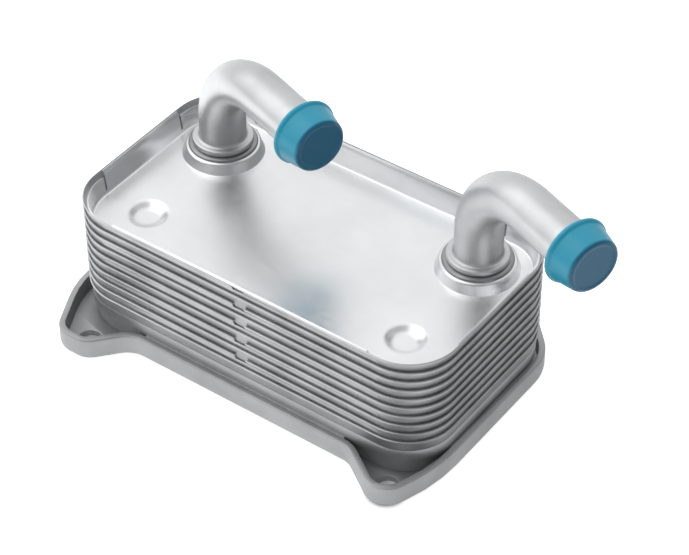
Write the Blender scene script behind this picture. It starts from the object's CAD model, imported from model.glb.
# %% [markdown]
# An engine oil cooler: ten pressed aluminium tubs stacked in each other, brazed to a tray with four ears.
# Two bent coolant pipes stand on the cover, each with a teal transport cap. The solids come packed as a
# fixed frame in metres. Here every visible piece gets its surface, and most get a finer mesh of their own.

# %% Load the frame
import math

import bmesh
import bpy
from mathutils import Matrix, Vector


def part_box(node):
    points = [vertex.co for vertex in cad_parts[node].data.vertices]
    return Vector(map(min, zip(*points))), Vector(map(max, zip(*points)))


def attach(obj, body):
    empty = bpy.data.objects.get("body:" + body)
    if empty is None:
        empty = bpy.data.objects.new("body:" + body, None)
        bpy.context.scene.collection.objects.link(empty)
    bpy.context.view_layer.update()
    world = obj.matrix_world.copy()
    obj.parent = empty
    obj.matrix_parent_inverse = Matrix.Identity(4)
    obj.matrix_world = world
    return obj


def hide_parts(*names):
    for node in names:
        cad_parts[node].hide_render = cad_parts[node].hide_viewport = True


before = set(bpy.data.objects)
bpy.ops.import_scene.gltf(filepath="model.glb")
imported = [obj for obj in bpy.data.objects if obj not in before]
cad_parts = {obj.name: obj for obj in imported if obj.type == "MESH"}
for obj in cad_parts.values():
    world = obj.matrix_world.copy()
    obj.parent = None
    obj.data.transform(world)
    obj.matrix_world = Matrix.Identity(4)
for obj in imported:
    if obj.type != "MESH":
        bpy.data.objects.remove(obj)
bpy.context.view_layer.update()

# %% [markdown]
# The sizes that the finer meshes need come from the frame where a node's box gives them. The others are
# the part's own driving sizes, written in millimetres and turned to metres by one factor. The coolant ports
# lie behind the core's long middle line and the oil ports in front of it, both at PORT_Y.

# %% Sizes
MM = 0.001
PLATES = 10
SHEET = 0.6 * MM
COVER_SHEET = 0.8 * MM
BRAZE_GAP = 0.03 * MM
CORNER = 20 * MM
PORT_X = 58 * MM
PORT_Y = 22.8 * MM
PORT_R = 8 * MM
low_plate, low_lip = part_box("core_plate_01")
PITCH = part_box("core_plate_02")[0].z - low_plate.z
HALF_L = low_lip.x
HALF_W = low_lip.y
DEPTH = low_lip.z - low_plate.z
LEAN = (SHEET + BRAZE_GAP) / PITCH
LEAN_ANGLE = math.atan(LEAN)
print("pitch in mm:", round(PITCH / MM, 2), "lean in degrees:", round(math.degrees(LEAN_ANGLE), 2))

# %% [markdown]
# The camera was fitted to the photograph: it stands to the right and in front, 42 degrees up, with a long
# lens, so that the walls hardly converge. The fit gives the angles, the distance and the focal length in
# pixels, and the lens follows from the picture's width.

# %% Camera
PICTURE_WIDTH = 689
FOCAL_PIXELS = 2478.5
SENSOR_WIDTH = 36
AIM = Vector((8.95, 8.66, 28.42)) * MM
DISTANCE = 920.15 * MM
TURN = math.radians(35.98)
RISE = math.radians(41.66)
ROLL = math.radians(-0.17)
back = Vector((math.sin(TURN) * math.cos(RISE), -math.cos(TURN) * math.cos(RISE), math.sin(RISE)))
camera_data = bpy.data.cameras.new("camera")
camera_data.sensor_width = SENSOR_WIDTH
camera_data.lens = FOCAL_PIXELS * SENSOR_WIDTH / PICTURE_WIDTH
camera = bpy.data.objects.new("camera", camera_data)
camera.location = AIM + back * DISTANCE
camera.rotation_mode = "QUATERNION"
camera.rotation_quaternion = Matrix.Rotation(ROLL, 3, back).to_quaternion() @ (-back).to_track_quat("-Z", "Y")
bpy.context.collection.objects.link(camera)
bpy.context.scene.camera = camera
print("lens in mm:", round(camera_data.lens, 1))

# %% [markdown]
# A material is a small graph of nodes. Writing each node out takes many lines, so one helper adds a node
# with its settings and links. Colours are written as sRGB hex, as a picture editor shows them, and one
# function turns them to the linear values that the renderer works in.

# %% Helpers for materials
def linear(hex_colour):
    channels = [int(hex_colour[i:i + 2], 16) / 255 for i in (1, 3, 5)]
    return [c / 12.92 if c <= 0.04045 else ((c + 0.055) / 1.055) ** 2.4 for c in channels] + [1.0]


def add_node(tree, kind, settings=None, inputs=None):
    node = tree.nodes.new(kind)
    for name, value in (settings or {}).items():
        setattr(node, name, value)
    for name, value in (inputs or {}).items():
        if isinstance(value, bpy.types.NodeSocket):
            tree.links.new(value, node.inputs[name])
        else:
            node.inputs[name].default_value = value
    return node


def new_material(name):
    material = bpy.data.materials.new(name)
    material.use_nodes = True
    material.node_tree.nodes.clear()
    return material, material.node_tree


def finish_material(tree, shader):
    add_node(tree, "ShaderNodeOutputMaterial", inputs={"Surface": shader.outputs[0]})


print("teal in linear values:", [round(c, 3) for c in linear("#26A5C4")])

# %% [markdown]
# Bare aluminium is never one grey. Rolled and brazed sheet has cloudy patches a centimetre or two across,
# where the furnace left the surface duller, fine grain from rolling, and a slightly uneven shine. One
# function makes them all, since only the colours, the shine and the sizes differ between the pieces. The
# grain is drawn coarser than the real one, about half a millimetre or more, so that it shows at this
# distance.

# %% A function for aluminium
SHINE_SPREAD = 0.03


def aluminium(name, light, dark, rough, patch_mm, grain_mm, depth_mm, metal=1.0):
    material, tree = new_material(name)
    place = add_node(tree, "ShaderNodeTexCoord").outputs["Object"]
    cloud = add_node(tree, "ShaderNodeTexNoise", inputs={
        "Vector": place, "Scale": 1 / (patch_mm * MM), "Detail": 4, "Roughness": 0.55}).outputs[0]
    grain = add_node(tree, "ShaderNodeTexNoise", inputs={
        "Vector": place, "Scale": 1 / (grain_mm * MM), "Detail": 3, "Roughness": 0.6}).outputs[0]
    patches = add_node(tree, "ShaderNodeMapRange", inputs={
        "Value": cloud, "From Min": 0.32, "From Max": 0.68}).outputs[0]
    colour = add_node(tree, "ShaderNodeMix", {"data_type": "RGBA"}, {
        "Factor": patches, 6: linear(dark), 7: linear(light)}).outputs[2]
    shine = add_node(tree, "ShaderNodeMapRange", inputs={
        "Value": grain, "From Min": 0.3, "From Max": 0.7,
        "To Min": rough - SHINE_SPREAD, "To Max": rough + SHINE_SPREAD}).outputs[0]
    bump = add_node(tree, "ShaderNodeBump", inputs={
        "Height": grain, "Strength": 0.25, "Distance": depth_mm * MM}).outputs[0]
    shader = add_node(tree, "ShaderNodeBsdfPrincipled", inputs={
        "Base Color": colour, "Metallic": metal, "Roughness": shine, "Normal": bump})
    finish_material(tree, shader)
    return material


# %% [markdown]
# The core plates are clad with brazing metal that melts in the furnace, which leaves them satin and grey.
# The cover's sheet stays the brightest and smoothest, and the pipes are drawn tube, smooth along their
# length. The braze rings melted and froze, so they are darker and grainy, and the corrugated fins are plain
# rolled foil. The tray got the most flux: a thin film of oxide on it hides part of the metal, so it is not
# fully metallic.

# %% The metals
brazed_plate = aluminium("brazed_aluminium_plate", "#C2C3C4", "#B0B1B2",
                         rough=0.42, patch_mm=14, grain_mm=0.7, depth_mm=0.03)
cover_sheet = aluminium("pressed_aluminium_cover", "#F0F1F2", "#E6E7E8",
                        rough=0.32, patch_mm=30, grain_mm=2.5, depth_mm=0.01)
drawn_tray = aluminium("drawn_aluminium_tray", "#B2B3B4", "#A2A3A4",
                       rough=0.45, patch_mm=18, grain_mm=0.8, depth_mm=0.04, metal=0.7)
tube_metal = aluminium("drawn_aluminium_tube", "#CFD0D1", "#C1C2C3",
                       rough=0.42, patch_mm=20, grain_mm=2.0, depth_mm=0.008)
ring_metal = aluminium("brazed_aluminium_ring", "#A4A5A6", "#929394",
                       rough=0.4, patch_mm=6, grain_mm=0.6, depth_mm=0.04)
fin_metal = aluminium("rolled_aluminium_fin", "#CFD0D1", "#B9BABB",
                      rough=0.35, patch_mm=10, grain_mm=0.8, depth_mm=0.03)
print("metals:", [m.name for m in (brazed_plate, cover_sheet, drawn_tray, tube_metal, ring_metal, fin_metal)])

# %% [markdown]
# The caps are soft low-density polyethylene, injection moulded and dyed through, and the seals are moulded
# rubber. The plastic is faintly see-through, which shows as a soft glow of its own colour, and its mould
# gives it an even half shine. A cap's closed end covers the pipe's open bore, where no metal shines back
# through it, so past a given distance along an axis the plastic can turn to a darker colour.

# %% A function for moulded plastic and rubber
PLASTIC_IOR = 1.51
GLOW_DEPTH = 2 * MM
GLOW_RADIUS = (0.4, 0.9, 1.0)
END_FADE = 1.2 * MM


def moulded(name, colour, rough, glow, texture_mm, depth_mm, end=None):
    """Where an end is given, it is a colour, the axis that leads there, and its distance along the axis."""
    material, tree = new_material(name)
    place = add_node(tree, "ShaderNodeTexCoord").outputs["Object"]
    base = linear(colour)
    if end:
        end_colour, axis, distance = end
        along = add_node(tree, "ShaderNodeVectorMath", {"operation": "DOT_PRODUCT"}, {
            0: place, 1: axis}).outputs["Value"]
        past = add_node(tree, "ShaderNodeMapRange", inputs={
            "Value": along, "From Min": distance - END_FADE, "From Max": distance}).outputs[0]
        base = add_node(tree, "ShaderNodeMix", {"data_type": "RGBA"}, {
            "Factor": past, 6: linear(colour), 7: linear(end_colour)}).outputs[2]
    texture = add_node(tree, "ShaderNodeTexNoise", inputs={
        "Vector": place, "Scale": 1 / (texture_mm * MM), "Detail": 3}).outputs[0]
    bump = add_node(tree, "ShaderNodeBump", inputs={
        "Height": texture, "Strength": 0.3, "Distance": depth_mm * MM}).outputs[0]
    shader = add_node(tree, "ShaderNodeBsdfPrincipled", inputs={
        "Base Color": base, "Roughness": rough, "IOR": PLASTIC_IOR, "Normal": bump,
        "Subsurface Weight": glow, "Subsurface Scale": GLOW_DEPTH, "Subsurface Radius": GLOW_RADIUS})
    finish_material(tree, shader)
    return material


seal_rubber = moulded("nitrile_rubber_seal", "#1A1A1B", rough=0.6, glow=0.0, texture_mm=0.5, depth_mm=0.03)
print("rubber:", seal_rubber.name)

# %% [markdown]
# A finished mesh becomes a piece in one step: it takes the place of its solid, rides on the same body and
# gets its material. Sheet pieces are modelled as a single skin, the outer one, so that step also gives
# them their thickness and rounds the cut edges, which is what makes a lip catch the light. Edges that turn
# less than the limit are left to smooth shading.

# %% A helper that turns a bmesh into a piece
EDGE_STEPS = 2
ROUND_FROM = math.radians(40)
SHARP_FROM = math.radians(38)


def make_piece(name, bm, material, replaced=(), thickness=0.0, edge=0.0):
    mesh = bpy.data.meshes.new(name)
    bm.to_mesh(mesh)
    bm.free()
    piece = bpy.data.objects.new(name, mesh)
    bpy.context.collection.objects.link(piece)
    if thickness:
        wall = piece.modifiers.new("wall", "SOLIDIFY")
        wall.thickness = thickness
        wall.offset = -1
        wall.use_even_offset = True
    if edge:
        rounding = piece.modifiers.new("edges", "BEVEL")
        rounding.width = edge
        rounding.segments = EDGE_STEPS
        rounding.limit_method = "ANGLE"
        rounding.angle_limit = ROUND_FROM
    depsgraph = bpy.context.evaluated_depsgraph_get()
    piece.data = bpy.data.meshes.new_from_object(piece.evaluated_get(depsgraph))
    piece.modifiers.clear()
    piece.data.shade_smooth()
    piece.data.set_sharp_from_angle(angle=SHARP_FROM)
    piece.data.materials.clear()
    piece.data.materials.append(material)
    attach(piece, "root")
    if replaced:
        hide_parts(*replaced)
    print(name, "has", len(piece.data.polygons), "faces")


# %% [markdown]
# Every core plate is a pressed tub. Its outlines, from the floor to the lip, are rounded rectangles that
# share the centres of their corners, so a ring at any height is found by moving each point away from its
# corner's centre. The floor starts as one quad whose corners are bevelled round. Its outline is then
# extruded ring by ring up the bend and the leaning wall, which is how the press draws the sheet.

# %% Rings round the tub's corners
CENTRE_X = HALF_L - CORNER
CENTRE_Y = HALF_W - CORNER
CORNER_STEPS = 14
WELD = 0.001 * MM


def on_outline(co, inset, z):
    centre = Vector((max(-CENTRE_X, min(CENTRE_X, co.x)), max(-CENTRE_Y, min(CENTRE_Y, co.y)), 0))
    away = Vector((co.x - centre.x, co.y - centre.y, 0)).normalized()
    return centre + away * (CORNER - inset) + Vector((0, 0, z))


def grow(bm, edges, place):
    """Extrudes the edges, puts each new point where place says, and gives the new edges back."""
    made = bmesh.ops.extrude_edge_only(bm, edges=edges)["geom"]
    for v in [g for g in made if isinstance(g, bmesh.types.BMVert)]:
        v.co = place(v.co)
    return [g for g in made if isinstance(g, bmesh.types.BMEdge)]


def rounded_outline(bm, inset, z):
    quad = bmesh.ops.create_grid(bm, x_segments=1, y_segments=1, size=1)["verts"]
    for v in quad:
        v.co = Vector((math.copysign(HALF_L - inset, v.co.x), math.copysign(HALF_W - inset, v.co.y), z))
    bmesh.ops.bevel(bm, geom=quad, offset=CORNER - inset, offset_type="OFFSET", segments=CORNER_STEPS,
                    profile=0.5, affect="VERTICES", material=-1)
    outline = bm.edges[:]
    bmesh.ops.delete(bm, geom=bm.faces[:], context="FACES_ONLY")
    return outline


print("corner centres in mm:", round(CENTRE_X / MM, 2), round(CENTRE_Y / MM, 2))

# %% [markdown]
# The wall's section is a bend at the foot, a straight run that leans out by one sheet in each pitch, so
# that the tubs nest, and a flare at the top. The flare opens a fine groove under each next wall, which is
# what draws the dark lines between the plates.

# %% Section of a tub's wall
BEND_STEPS = 8
PLATE_BEND = 2.2 * MM
LIP_FLARE = 0.7 * MM
FLARE_HEIGHT = 1.4 * MM


def wall_rings(depth, bend):
    """Gives the (inset, height) of each ring, from the floor's edge to the lip."""
    straight = depth - FLARE_HEIGHT - bend + bend * math.sin(LEAN_ANGLE)
    centre_in = LIP_FLARE + straight * LEAN + bend * math.cos(LEAN_ANGLE)
    rings = []
    for step in range(BEND_STEPS + 1):
        angle = math.pi / 2 + (LEAN_ANGLE - math.pi / 2) * step / BEND_STEPS
        rings.append((centre_in - bend * math.cos(angle), bend - bend * math.sin(angle)))
    return rings + [(LIP_FLARE, depth - FLARE_HEIGHT), (0, depth)]


plate_rings = wall_rings(DEPTH, PLATE_BEND)
print("a plate's floor ends in mm inside its lip:", round(plate_rings[0][0] / MM, 2))

# %% [markdown]
# Round the ports the sheet is pressed up into collars and bosses, or down into dimples. Each is a circle
# in the floor whose edge is extruded up a small bend, a sloped side and a second bend. The section has
# few points, and smooth shading hides the steps.

# %% Bosses, collars and dimples
PRESS_STEPS = 6
CIRCLE = 72


def boss_rings(foot_r, height, slope, low_bend, high_bend):
    rise = height - (low_bend + high_bend) * (1 - math.cos(slope))
    head_r = foot_r - (low_bend + high_bend) * math.sin(slope) - rise / math.tan(slope)
    low = [(foot_r - low_bend * math.sin(a), low_bend * (1 - math.cos(a)))
           for a in (slope * s / PRESS_STEPS for s in range(1, PRESS_STEPS + 1))]
    high = [(head_r + high_bend * math.sin(a), height - high_bend * (1 - math.cos(a)))
            for a in (slope * (1 - s / PRESS_STEPS) for s in range(PRESS_STEPS + 1))]
    return low + high


def circle_in_floor(bm, x, y, radius, z):
    made = bmesh.ops.create_circle(bm, cap_ends=False, segments=CIRCLE, radius=radius,
                                   matrix=Matrix.Translation((x, y, z)))["verts"]
    return list({e for v in made for e in v.link_edges})


def press(bm, edges, x, y, z, rings, sign=1):
    """Carries a circle of edges up, or down for a sign of -1, through the rings."""
    middle = Vector((x, y, 0))
    for radius, height in rings:
        level = Vector((0, 0, z + sign * height))
        edges = grow(bm, edges, lambda co: (
            middle + level + radius * Vector((co.x - x, co.y - y, 0)).normalized()))
    return edges


COLLAR_FOOT = 12.5 * MM
COLLAR_HEIGHT = PITCH - SHEET
collar_rings = boss_rings(COLLAR_FOOT, COLLAR_HEIGHT, math.radians(65), low_bend=1.0 * MM, high_bend=0.4 * MM)
print("a collar's head in mm radius:", round(collar_rings[-1][0] / MM, 2))

# %% [markdown]
# Slits, notches and lowered rims are cut while the tub is still a single skin: the faces round a box are
# sliced along the box's sides, and the faces inside are deleted. A boolean would do it too, but it leaves
# long thin triangles that spoil the rounding of the edges.

# %% Cutting a window in a skin
SLICE_ROOM = 5 * MM
ON_PLANE = 1e-7


def cut_window(bm, low, high):
    for axis in range(3):
        for limit in (low[axis], high[axis]):
            near = [f for f in bm.faces if all(
                max(v.co[a] for v in f.verts) > low[a] - SLICE_ROOM
                and min(v.co[a] for v in f.verts) < high[a] + SLICE_ROOM for a in range(3))]
            normal = Vector([1.0 if a == axis else 0.0 for a in range(3)])
            parts = near + list({e for f in near for e in f.edges}) + list({v for f in near for v in f.verts})
            bmesh.ops.bisect_plane(bm, geom=parts, dist=ON_PLANE, plane_co=normal * limit, plane_no=normal)
    inside = [f for f in bm.faces if all(low[a] < f.calc_center_median()[a] < high[a] for a in range(3))]
    bmesh.ops.delete(bm, geom=inside, context="FACES")


def face_outwards(bm):
    """Turns a tub's skin so that its floor looks down."""
    bmesh.ops.remove_doubles(bm, verts=bm.verts[:], dist=WELD)
    bmesh.ops.recalc_face_normals(bm, faces=bm.faces[:])
    floor = min(bm.faces, key=lambda f: f.calc_center_median().z)
    if floor.normal.z > 0:
        bmesh.ops.reverse_faces(bm, faces=bm.faces[:])

# %% [markdown]
# Odd plates carry collars round the coolant ports and even ones round the oil ports, which sends oil and
# coolant through alternate gaps. The first plate closes its collars, and the last has plain holes there
# instead, with room for the cover's dimples. Every second lip has a small index notch on the near side, so
# that the stack can be checked before brazing.

# %% Core plates
NOTCH_X = 1 * MM
NOTCH_WIDTH = 5 * MM
NOTCH_DEPTH = 2 * MM
NOTCH_LEFT = NOTCH_X - NOTCH_WIDTH / 2
NOTCH_RIGHT = NOTCH_X + NOTCH_WIDTH / 2
DIMPLE_ROOM_R = 9.9 * MM
SHEET_EDGE = 0.14 * MM


def core_plate(number):
    base = low_plate.z + (number - 1) * PITCH
    bm = bmesh.new()
    outline = rounded_outline(bm, plate_rings[0][0], base)
    collar_y = PORT_Y if number % 2 else -PORT_Y
    loops = []
    for x in (-PORT_X, PORT_X):
        if number == PLATES:
            circle_in_floor(bm, x, collar_y, DIMPLE_ROOM_R, base)
        else:
            loops.append((x, circle_in_floor(bm, x, collar_y, COLLAR_FOOT, base)))
        circle_in_floor(bm, x, -collar_y, PORT_R, base)
    bmesh.ops.triangle_fill(bm, edges=bm.edges[:], use_beauty=True, normal=(0, 0, -1))
    for x, loop in loops:
        head = press(bm, loop, x, collar_y, base, collar_rings)
        if number == 1:
            bmesh.ops.contextual_create(bm, geom=head)
        else:
            press(bm, head, x, collar_y, base, [(PORT_R, COLLAR_HEIGHT)])
    for inset, z in plate_rings[1:]:
        outline = grow(bm, outline, lambda co: on_outline(co, inset, base + z))
    if number % 2 == 0:
        lip = base + DEPTH
        cut_window(bm, (NOTCH_LEFT, -HALF_W - MM, lip - NOTCH_DEPTH), (NOTCH_RIGHT, -HALF_W + MM, lip + MM))
    face_outwards(bm)
    name = f"core_plate_{number:02d}"
    make_piece("pressed_" + name, bm, brazed_plate, [name], SHEET, SHEET_EDGE)


for number in range(1, PLATES + 1):
    core_plate(number)

# %% [markdown]
# Brazing metal melts in the furnace and is drawn into each groove between a lip and the next wall, where it
# sets as a small hollow fillet. It is one closed section carried round the outline, just under each lip.
# The points are how far in they lie and how far above the lip, in millimetres, and the last ones are hidden
# in the sheets.

# %% Fillets between the plates
FILLET = [(0.70, -0.25), (0.84, -0.33), (0.95, -0.25), (1.03, -0.02), (1.08, 0.28),
          (1.2, 0.3), (1.3, -0.8), (0.9, -0.8)]


def swept_ring(bm, section, base):
    """Carries a closed section of (inset, height) points in millimetres round the core's outline."""
    first_in, first_up = section[0]
    edges = rounded_outline(bm, first_in * MM, base + first_up * MM)
    for inset, up in section[1:] + section[:1]:
        edges = grow(bm, edges, lambda co: on_outline(co, inset * MM, base + up * MM))
    bmesh.ops.remove_doubles(bm, verts=bm.verts[:], dist=WELD)
    bmesh.ops.recalc_face_normals(bm, faces=bm.faces[:])


for number in range(1, PLATES):
    lip = low_lip.z + (number - 1) * PITCH
    bm = bmesh.new()
    swept_ring(bm, FILLET, lip)
    if number % 2 == 0:
        cut_window(bm, (NOTCH_LEFT, -HALF_W, lip - NOTCH_DEPTH), (NOTCH_RIGHT, -HALF_W + 2 * MM, lip + MM))
        bmesh.ops.holes_fill(bm, edges=bm.edges[:])
    make_piece(f"braze_fillet_{number:02d}", bm, brazed_plate)

# %% [markdown]
# Under the first lip the photograph shows a rounded shoulder and a plain wall that goes down into the tray:
# the base is drawn up round the foot of the first tub. The same kind of closed ring makes it, with heights
# above the mounting face. Its inner points lie hidden behind the tub.

# %% Collar round the first tub
COLLAR = [(2.9, 2.5), (1.35, 8.6), (1.05, 9.9), (0.97, 11.3), (0.93, 12.4), (0.93, 13.1), (0.96, 13.7),
          (1.03, 14.25), (1.15, 14.75), (1.4, 14.6), (1.85, 11.2), (3.05, 8.9), (3.05, 2.5)]
bm = bmesh.new()
swept_ring(bm, COLLAR, 0)
make_piece("drawn_base_collar", bm, drawn_tray)

# %% [markdown]
# Between that wall and the tray's rim a gap runs along the near side and the right side. Braze metal has
# filled the near one to a hollow fillet, and the right one to just under the rim, with a thin dark line
# left open beside the wall. Each is a straight strip, so its end face is drawn once and extruded.

# %% Braze metal in the gaps
NEAR_GAP = [(0.4, 9.2), (0.45, 9.84), (0.62, 9.85), (0.78, 9.92), (0.88, 10.15), (0.92, 10.5), (1.3, 10.6),
            (1.3, 9.2)]
NEAR_START = -44 * MM
NEAR_END = 47 * MM
RIGHT_GAP = [(0.4, 7.9), (0.45, 9.84), (0.78, 9.84), (0.86, 9.76), (0.9, 8.7), (1.0, 8.6), (1.3, 8.6),
             (1.3, 7.9)]
RIGHT_START = -26 * MM
RIGHT_END = 30 * MM


def strip(name, corners, run):
    bm = bmesh.new()
    first_end = bm.faces.new([bm.verts.new(corner) for corner in corners])
    made = bmesh.ops.extrude_face_region(bm, geom=[first_end])["geom"]
    bmesh.ops.translate(bm, vec=run, verts=[g for g in made if isinstance(g, bmesh.types.BMVert)])
    bmesh.ops.recalc_face_normals(bm, faces=bm.faces[:])
    make_piece(name, bm, drawn_tray)


strip("braze_metal_in_near_gap", [(NEAR_START, inset * MM - HALF_W, up * MM) for inset, up in NEAR_GAP],
      (NEAR_END - NEAR_START, 0, 0))
strip("braze_metal_in_right_gap", [(HALF_L - inset * MM, RIGHT_START, up * MM) for inset, up in RIGHT_GAP],
      (0, RIGHT_END - RIGHT_START, 0))

# %% [markdown]
# The cover is a tub as well, in thicker sheet, nested in the last plate. Two bosses carry the pipes and two
# shallow, round-bottomed dimples close the oil ports.

# %% The cover's skin
cover_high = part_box("cover_plate")[1]
cover_floor = low_plate.z + (PLATES - 1) * PITCH + SHEET
cover_top = cover_floor + COVER_SHEET
cover_inset = HALF_L - cover_high.x
COVER_BEND = 2 * MM
BOSS_FOOT = 16 * MM
BOSS_HEIGHT = 4.7 * MM
PIPE_HOLE = 9.05 * MM
DIMPLE_FOOT = 8.9 * MM
DIMPLE_DEPTH = 2.2 * MM
pressed_boss = boss_rings(BOSS_FOOT, BOSS_HEIGHT, math.radians(75), low_bend=1.4 * MM, high_bend=0.6 * MM)
dimple_bowl = boss_rings(DIMPLE_FOOT, DIMPLE_DEPTH, math.radians(34), low_bend=3 * MM, high_bend=6 * MM)


def cover_skin():
    rings = [(inset + cover_inset, z) for inset, z in wall_rings(cover_high.z - cover_floor, COVER_BEND)]
    bm = bmesh.new()
    outline = rounded_outline(bm, rings[0][0], cover_floor)
    boss = [(x, circle_in_floor(bm, x, PORT_Y, BOSS_FOOT, cover_floor)) for x in (-PORT_X, PORT_X)]
    dimple = [(x, circle_in_floor(bm, x, -PORT_Y, DIMPLE_FOOT, cover_floor)) for x in (-PORT_X, PORT_X)]
    bmesh.ops.triangle_fill(bm, edges=bm.edges[:], use_beauty=True, normal=(0, 0, -1))
    for x, loop in boss:
        head = press(bm, loop, x, PORT_Y, cover_floor, pressed_boss)
        press(bm, head, x, PORT_Y, cover_floor, [(PIPE_HOLE, BOSS_HEIGHT)])
    for x, loop in dimple:
        bottom = press(bm, loop, x, -PORT_Y, cover_floor, dimple_bowl, sign=-1)
        bmesh.ops.contextual_create(bm, geom=bottom)
    for inset, z in rings[1:]:
        outline = grow(bm, outline, lambda co: on_outline(co, inset, cover_floor + z))
    return bm


cover = cover_skin()
print("the cover's skin has", len(cover.faces), "faces before its wall is cut")

# %% [markdown]
# The cover's wall has eight relief slits, two near each corner, so that its straight sides could be bent up
# without tearing. Between the two slits of a corner the rim drops a little.

# %% Slits and lowered corners
SLIT = 0.9 * MM
SLIT_X = 57 * MM
SLIT_Y = 22.5 * MM
SLIT_FOOT = 1.2 * MM
CORNER_DROP = 2 * MM
THROUGH = 4 * MM
foot = cover_top + SLIT_FOOT
top = cover_high.z + MM
for side in (-1, 1):
    for end in (-1, 1):
        cut_window(cover, (end * SLIT_X - SLIT / 2, side * HALF_W - THROUGH, foot),
                   (end * SLIT_X + SLIT / 2, side * HALF_W + THROUGH, top))
        cut_window(cover, (end * HALF_L - THROUGH, side * SLIT_Y - SLIT / 2, foot),
                   (end * HALF_L + THROUGH, side * SLIT_Y + SLIT / 2, top))
        low_x, high_x = sorted((end * SLIT_X, end * (HALF_L + MM)))
        low_y, high_y = sorted((side * SLIT_Y, side * (HALF_W + MM)))
        cut_window(cover, (low_x, low_y, cover_high.z - CORNER_DROP), (high_x, high_y, top))
face_outwards(cover)
make_piece("pressed_cover", cover, cover_sheet, ["cover_plate"], COVER_SHEET, SHEET_EDGE)

# %% [markdown]
# A pipe is a length of drawn tube: it stands in the boss, bends through a quarter turn and runs level
# towards the viewer. One ring of points is extruded up, swollen for the bead that was upset at its foot,
# spun round the bend's axis and extruded along the leg, with a second bead for the hose. Spinning keeps
# every ring square to the tube. The beads are (radius, distance) points in millimetres.

# %% Sizes of the coolant pipes
PIPE_R = 9 * MM
PIPE_WALL = 1.5 * MM
PIPE_EDGE = 0.1 * MM
PIPE_BEND = 28.8 * MM
PIPE_HEIGHT = {"left": 93 * MM, "right": 95.6 * MM}
PIPE_LEG = {"left": 35.8 * MM, "right": 34 * MM}
PIPE_ANGLE = {"left": math.radians(-19.2), "right": math.radians(-20.9)}
PORT = {"left": -PORT_X, "right": PORT_X}
PIPE_STEPS = 64
TURN_STEPS = 32
IN_BOSS = 3 * MM
RING_HEIGHT = 1 * MM
FOOT_BEAD = [(9.02, 0.02), (11.1, 0.05), (11.6, 0.3), (11.8, 0.8), (11.8, 1.8), (11.6, 2.3), (11.1, 2.55),
             (10.3, 2.6), (9.6, 2.75), (9.15, 3.2), (9.0, 4.0)]
HOSE_BEAD = [(9.0, -1.6), (9.9, -0.5), (9.9, 0.5), (9.0, 1.6)]
HOSE_BEAD_AT = 4.4 * MM
UP = Vector((0, 0, 1))
boss_top = cover_top + BOSS_HEIGHT
ring_top = boss_top + RING_HEIGHT
print("the pipes stand on their rings at", round(ring_top / MM, 2), "mm")

# %% Coolant pipes
def ring_at(bm, edges, centre, normal, radius):
    """Extrudes the ring of edges to a circle of a radius round a centre, square to a normal."""
    old = [v for e in edges for v in e.verts]
    middle = sum((v.co for v in old), Vector()) / len(old)
    return grow(bm, edges, lambda co: centre + radius * (
        co - middle - (co - middle).dot(normal) * normal).normalized())


def leg_direction(side):
    return Vector((math.cos(PIPE_ANGLE[side]), math.sin(PIPE_ANGLE[side]), 0))


def coolant_pipe(side):
    foot = Vector((PORT[side], PORT_Y, boss_top - IN_BOSS))
    level = leg_direction(side)
    turn_start = Vector((foot.x, foot.y, PIPE_HEIGHT[side] - PIPE_BEND))
    pivot = turn_start + level * PIPE_BEND
    turn_end = pivot + UP * PIPE_BEND
    bm = bmesh.new()
    start = bmesh.ops.create_circle(bm, cap_ends=False, segments=PIPE_STEPS, radius=PIPE_R,
                                    matrix=Matrix.Translation(foot))["verts"]
    edges = list({e for v in start for e in v.link_edges})
    for radius, height in FOOT_BEAD:
        edges = ring_at(bm, edges, Vector((foot.x, foot.y, ring_top + height * MM)), UP, radius * MM)
    edges = ring_at(bm, edges, turn_start, UP, PIPE_R)
    turned = bmesh.ops.spin(bm, geom=edges, cent=pivot, axis=UP.cross(level), angle=math.radians(90),
                            steps=TURN_STEPS, use_merge=False, use_duplicate=False)["geom_last"]
    edges = [g for g in turned if isinstance(g, bmesh.types.BMEdge)]
    bead_centre = turn_end + level * (PIPE_LEG[side] - HOSE_BEAD_AT)
    for radius, reach in HOSE_BEAD:
        edges = ring_at(bm, edges, bead_centre + level * reach * MM, level, radius * MM)
    ring_at(bm, edges, turn_end + level * PIPE_LEG[side], level, PIPE_R)
    bmesh.ops.recalc_face_normals(bm, faces=bm.faces[:])
    outward = sum(((f.calc_center_median() - foot).dot(f.normal) for f in bm.faces
                   if f.calc_center_median().z < boss_top), 0.0)
    if outward < 0:
        bmesh.ops.reverse_faces(bm, faces=bm.faces[:])
    name = "coolant_pipe_" + side
    make_piece("drawn_" + name, bm, tube_metal, [name], PIPE_WALL, PIPE_EDGE)


for side in PORT:
    coolant_pipe(side)

# %% [markdown]
# The braze ring is a flat washer that melts round the foot of the pipe, so its rim has run a little. It is
# turned from a small section of (radius, height) points, spun all the way round the pipe's axis.

# %% Braze rings
RING_SECTION = [(9.05, 0), (13.1, 0), (13.3, 0.25), (13.1, 0.7), (12.6, 1), (9.05, 1), (9.05, 0)]


def turned_piece(name, section, origin, axis, start, material, replaced):
    """Spins a closed section of (radius, height) points in millimetres about an axis."""
    bm = bmesh.new()
    points = [bm.verts.new(origin + start * r * MM + axis * h * MM) for r, h in section]
    edges = [bm.edges.new((a, b)) for a, b in zip(points, points[1:])]
    bmesh.ops.spin(bm, geom=points + edges, cent=origin, axis=axis, angle=math.radians(360), steps=CIRCLE,
                   use_merge=True, use_duplicate=False)
    bmesh.ops.remove_doubles(bm, verts=bm.verts[:], dist=WELD)
    bmesh.ops.recalc_face_normals(bm, faces=bm.faces[:])
    make_piece(name, bm, material, replaced)


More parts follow.
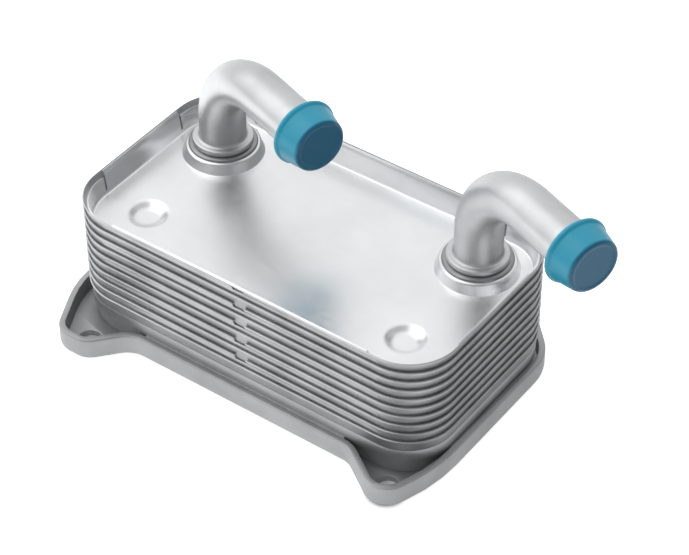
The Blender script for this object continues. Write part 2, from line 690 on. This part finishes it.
for side, x in PORT.items():
    turned_piece("melted_braze_ring_" + side, RING_SECTION, Vector((x, PORT_Y, boss_top)), UP,
                 Vector((1, 0, 0)), ring_metal, ["braze_ring_" + side])

# %% [markdown]
# A transport cap is a moulded plug with a rolled rim, pushed over the pipe's end. Its section has the
# rounded rim, the tapering body, a soft corner and a shallow dish in the closed end, and it is spun about
# the leg. The bore is wide over the hose bead and narrow past it. Each cap has a plastic of its own, since
# the darker end lies at another place along another axis.

# %% Transport caps
CAP_REACH = 10.2 * MM
CAP_END = 11.1
CAP_SECTION = [(10.0, 0), (11.6, 0), (12.3, 0.15), (12.7, 0.6), (12.8, 1.1), (12.7, 1.6), (12.35, 2.05),
               (12.0, 2.3), (11.85, 2.8), (11.2, 6.5), (10.5, 10.0), (10.4, 10.5), (10.1, 10.98),
               (9.6, 11.3), (9.1, 11.4), (8.75, 11.38), (8.45, 11.25), (8.2, 11.12), (7.8, CAP_END),
               (0, CAP_END), (0, 10.2), (9.1, 10.2), (9.1, 8.3), (10.0, 7.4), (10.0, 0)]
for side, x in PORT.items():
    level = leg_direction(side)
    mouth = Vector((x, PORT_Y, PIPE_HEIGHT[side])) + level * (PIPE_BEND + PIPE_LEG[side] - CAP_REACH)
    cap_plastic = moulded("dyed_polyethylene_cap_" + side, "#26A5C4", rough=0.34, glow=0.15, texture_mm=1.5,
                          depth_mm=0.05, end=("#04688C", level, mouth.dot(level) + CAP_END * MM))
    turned_piece("moulded_cap_" + side, CAP_SECTION, mouth, level, UP, cap_plastic,
                 ["transport_cap_" + side])

# %% [markdown]
# The tray and the base plate keep the outlines of their solids. A copy of each mesh is merged, its flat
# faces are joined, and its edges are rounded, which is all that a drawn or milled sheet needs.

# %% Tray and base plate
SOLID_WELD = 0.002 * MM
FLAT = math.radians(0.5)


def softened(node, name, material, edge):
    bm = bmesh.new()
    bm.from_mesh(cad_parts[node].data)
    bmesh.ops.remove_doubles(bm, verts=bm.verts[:], dist=SOLID_WELD)
    bmesh.ops.dissolve_limit(bm, angle_limit=FLAT, verts=bm.verts[:], edges=bm.edges[:])
    make_piece(name, bm, material, [node], edge=edge)


softened("base_tray", "drawn_base_tray", drawn_tray, 0.2 * MM)
softened("base_plate", "machined_base_plate", brazed_plate, 0.3 * MM)

# %% [markdown]
# The turbulators and seals keep their solids, because little of them shows: they only get their finish.

# %% Inner pieces
def give_finish(node, material):
    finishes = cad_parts[node].data.materials
    finishes.clear()
    finishes.append(material)


for number in range(1, PLATES):
    give_finish(f"turbulator_{number:02d}", fin_metal)
for side in PORT:
    give_finish("port_seal_" + side, seal_rubber)
print("finished", PLATES - 1, "turbulators and", len(PORT), "seals")

# %% [markdown]
# The object stands on white paper. Bare metal has hardly a shade of its own: it shows what it mirrors, so
# the paper's glow is set for each kind of ray. The camera sees it nearly white. A mirroring surface sees it
# brighter towards the lamp and dimmer away from it, which shapes the walls. The part shades the paper
# under its near ears, so close to those two bolt holes the glow is gone, and they look dark, as in the
# photograph. The matt paper under the glow keeps the part's soft shadow.

# %% Floor
FLOOR_HALF = 6
NEAR_BOLT_X = (-65.8 * MM, 68.8 * MM)
NEAR_BOLT_Y = -50.1 * MM
SHADED_R = 5.5 * MM
OPEN_R = 8.5 * MM
CAMERA_GLOW = 0.75
LAMP_SIDE = Vector((-0.6, -0.8, 0))
MIRRORED_REACH = 120 * MM
MIRRORED_DIM = 0.35
MIRRORED_BRIGHT = 0.9
floor_mesh = bpy.data.meshes.new("floor")
floor_bm = bmesh.new()
bmesh.ops.create_grid(floor_bm, x_segments=1, y_segments=1, size=FLOOR_HALF)
floor_bm.to_mesh(floor_mesh)
floor_bm.free()
floor = bpy.data.objects.new("floor", floor_mesh)
bpy.context.collection.objects.link(floor)

paper, tree = new_material("white_paper_floor")
rays = add_node(tree, "ShaderNodeLightPath").outputs
place = add_node(tree, "ShaderNodeTexCoord").outputs["Object"]
lampwards = add_node(tree, "ShaderNodeVectorMath", {"operation": "DOT_PRODUCT"}, {
    0: place, 1: LAMP_SIDE}).outputs["Value"]
mirrored = add_node(tree, "ShaderNodeMapRange", inputs={
    "Value": lampwards, "From Min": -MIRRORED_REACH, "From Max": MIRRORED_REACH,
    "To Min": MIRRORED_DIM, "To Max": MIRRORED_BRIGHT}).outputs[0]
seen = add_node(tree, "ShaderNodeMath", {"operation": "MULTIPLY"}, {
    0: rays["Is Camera Ray"], 1: CAMERA_GLOW}).outputs[0]
shown = add_node(tree, "ShaderNodeMath", {"operation": "MULTIPLY_ADD"}, {
    0: rays["Is Glossy Ray"], 1: mirrored, 2: seen}).outputs[0]
to_left, to_right = (add_node(tree, "ShaderNodeVectorMath", {"operation": "DISTANCE"}, {
    0: place, 1: Vector((x, NEAR_BOLT_Y, 0))}).outputs["Value"] for x in NEAR_BOLT_X)
to_bolt = add_node(tree, "ShaderNodeMath", {"operation": "MINIMUM"}, {0: to_left, 1: to_right}).outputs[0]
open_floor = add_node(tree, "ShaderNodeMapRange", inputs={
    "Value": to_bolt, "From Min": SHADED_R, "From Max": OPEN_R}).outputs[0]
strength = add_node(tree, "ShaderNodeMath", {"operation": "MULTIPLY"}, {0: shown, 1: open_floor}).outputs[0]
glow = add_node(tree, "ShaderNodeEmission", inputs={"Strength": strength})
matt = add_node(tree, "ShaderNodeBsdfDiffuse", inputs={"Color": linear("#F2F2F2")})
finish_material(tree, add_node(tree, "ShaderNodeAddShader", inputs={0: matt.outputs[0], 1: glow.outputs[0]}))
floor.data.materials.append(paper)
print("floor of", 2 * FLOOR_HALF, "m, with", len(tree.nodes), "nodes in its paper")

# %% [markdown]
# The surround is white for the camera. For the metal it is brightest behind, above and to the left, and
# falls to a third of that on the other sides. The cover and the pipes' backs mirror the bright part, and
# the near and right walls the dim one, which gives the photograph's contrast.

# %% Surround
BRIGHT_SIDE = Vector((-0.5, 0.45, 0.74))
BRIGHT_FROM = 0.27
BRIGHT_FULL = 0.85
SURROUND_DIM = 0.32
SURROUND_BRIGHT = 1.0
world = bpy.data.worlds.new("surround")
bpy.context.scene.world = world
world.use_nodes = True
tree = world.node_tree
tree.nodes.clear()
ray_direction = add_node(tree, "ShaderNodeTexCoord").outputs["Generated"]
lit_side = add_node(tree, "ShaderNodeVectorMath", {"operation": "DOT_PRODUCT"}, {
    0: ray_direction, 1: BRIGHT_SIDE}).outputs["Value"]
around = add_node(tree, "ShaderNodeMapRange", {"interpolation_type": "SMOOTHSTEP"}, {
    "Value": lit_side, "From Min": BRIGHT_FROM, "From Max": BRIGHT_FULL,
    "To Min": SURROUND_DIM, "To Max": SURROUND_BRIGHT}).outputs[0]
for_camera = add_node(tree, "ShaderNodeLightPath").outputs["Is Camera Ray"]
strength = add_node(tree, "ShaderNodeMath", {"operation": "MAXIMUM"}, {0: for_camera, 1: around}).outputs[0]
surround = add_node(tree, "ShaderNodeBackground", inputs={"Color": (1, 1, 1, 1), "Strength": strength})
add_node(tree, "ShaderNodeOutputWorld", inputs={"Surface": surround.outputs[0]})
print("surround from", SURROUND_DIM, "to", SURROUND_BRIGHT)

# %% [markdown]
# One large square lamp, as soft as a window, stands front left and above. It lights the caps and the tray,
# and lays the faint shadow behind and to the right. Standard view keeps each colour about as it is written.

# %% Lamp
LAMP_PLACE = Vector((-0.6, -0.45, 0.75))
LAMP_SIZE = 1.4
LAMP_POWER = 5
lamp_data = bpy.data.lights.new("key", "AREA")
lamp_data.shape = "SQUARE"
lamp_data.size = LAMP_SIZE
lamp_data.energy = LAMP_POWER
lamp = bpy.data.objects.new("key", lamp_data)
lamp.location = LAMP_PLACE
lamp.rotation_mode = "QUATERNION"
lamp.rotation_quaternion = (-LAMP_PLACE).to_track_quat("-Z", "Y")
bpy.context.collection.objects.link(lamp)
bpy.context.scene.view_settings.view_transform = "Standard"
print("lamp at", round(LAMP_PLACE.length, 2), "m, power", LAMP_POWER, "W")
